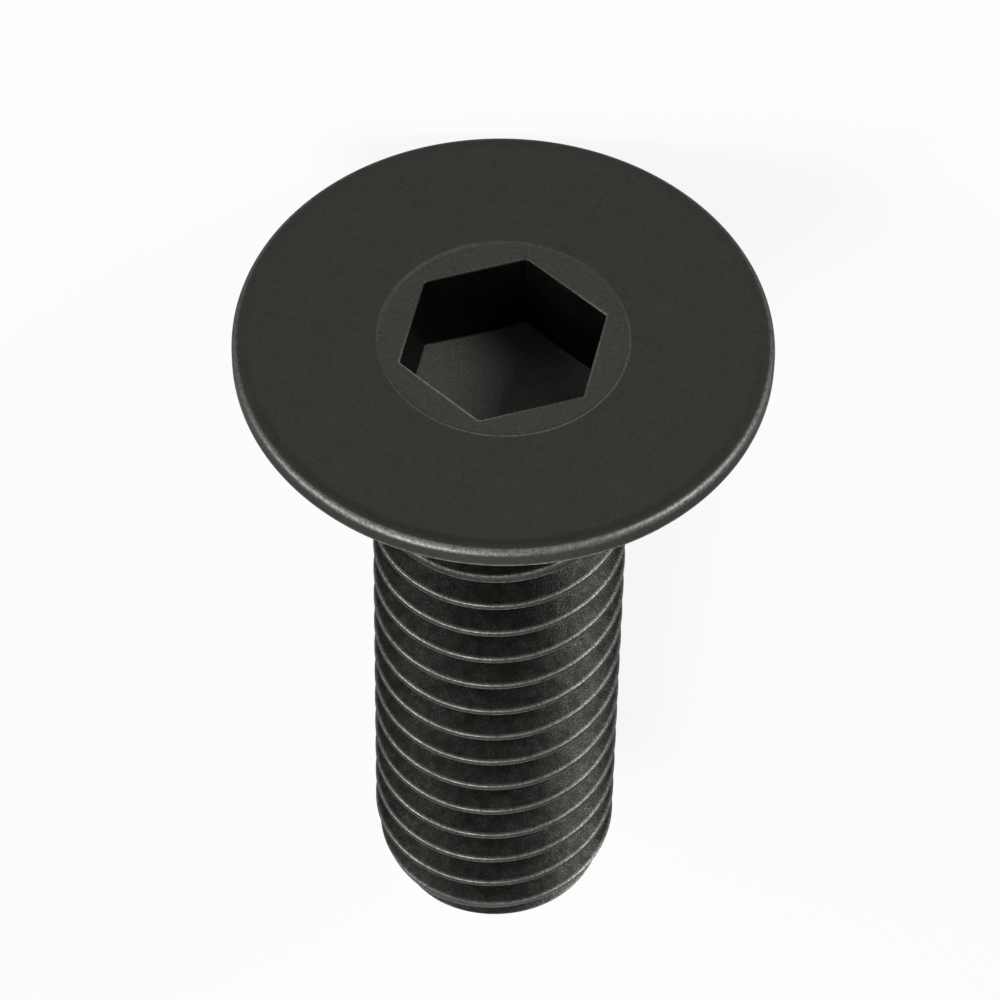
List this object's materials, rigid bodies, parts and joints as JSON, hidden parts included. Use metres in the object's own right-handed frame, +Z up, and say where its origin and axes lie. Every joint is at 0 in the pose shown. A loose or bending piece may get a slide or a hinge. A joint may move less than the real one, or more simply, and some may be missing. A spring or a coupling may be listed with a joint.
{
  "type": "countersunk socket screw",
  "caption": "Black countersunk machine screw with a flat head, a hexagon socket and a thread up to its neck, lying on its rim and tip.",
  "frame": {"origin": "on the floor, under the middle of the screw's bounding box as it lies on its rim and tip", "axes": "+Z up, the screw's axis in the YZ plane with the head towards -Y and leaning down about 10 degrees towards the tip at +Y, +X across"},
  "size_m": [0.0118, 0.0198, 0.0117],
  "materials": {
    "black_oxide_steel": "black oxide on alloy steel, dark satin, worn lighter on the thread's crests and the edges"
  },
  "bodies": {
    "root": {"screw": "black_oxide_steel"}
  },
  "joints": []
}
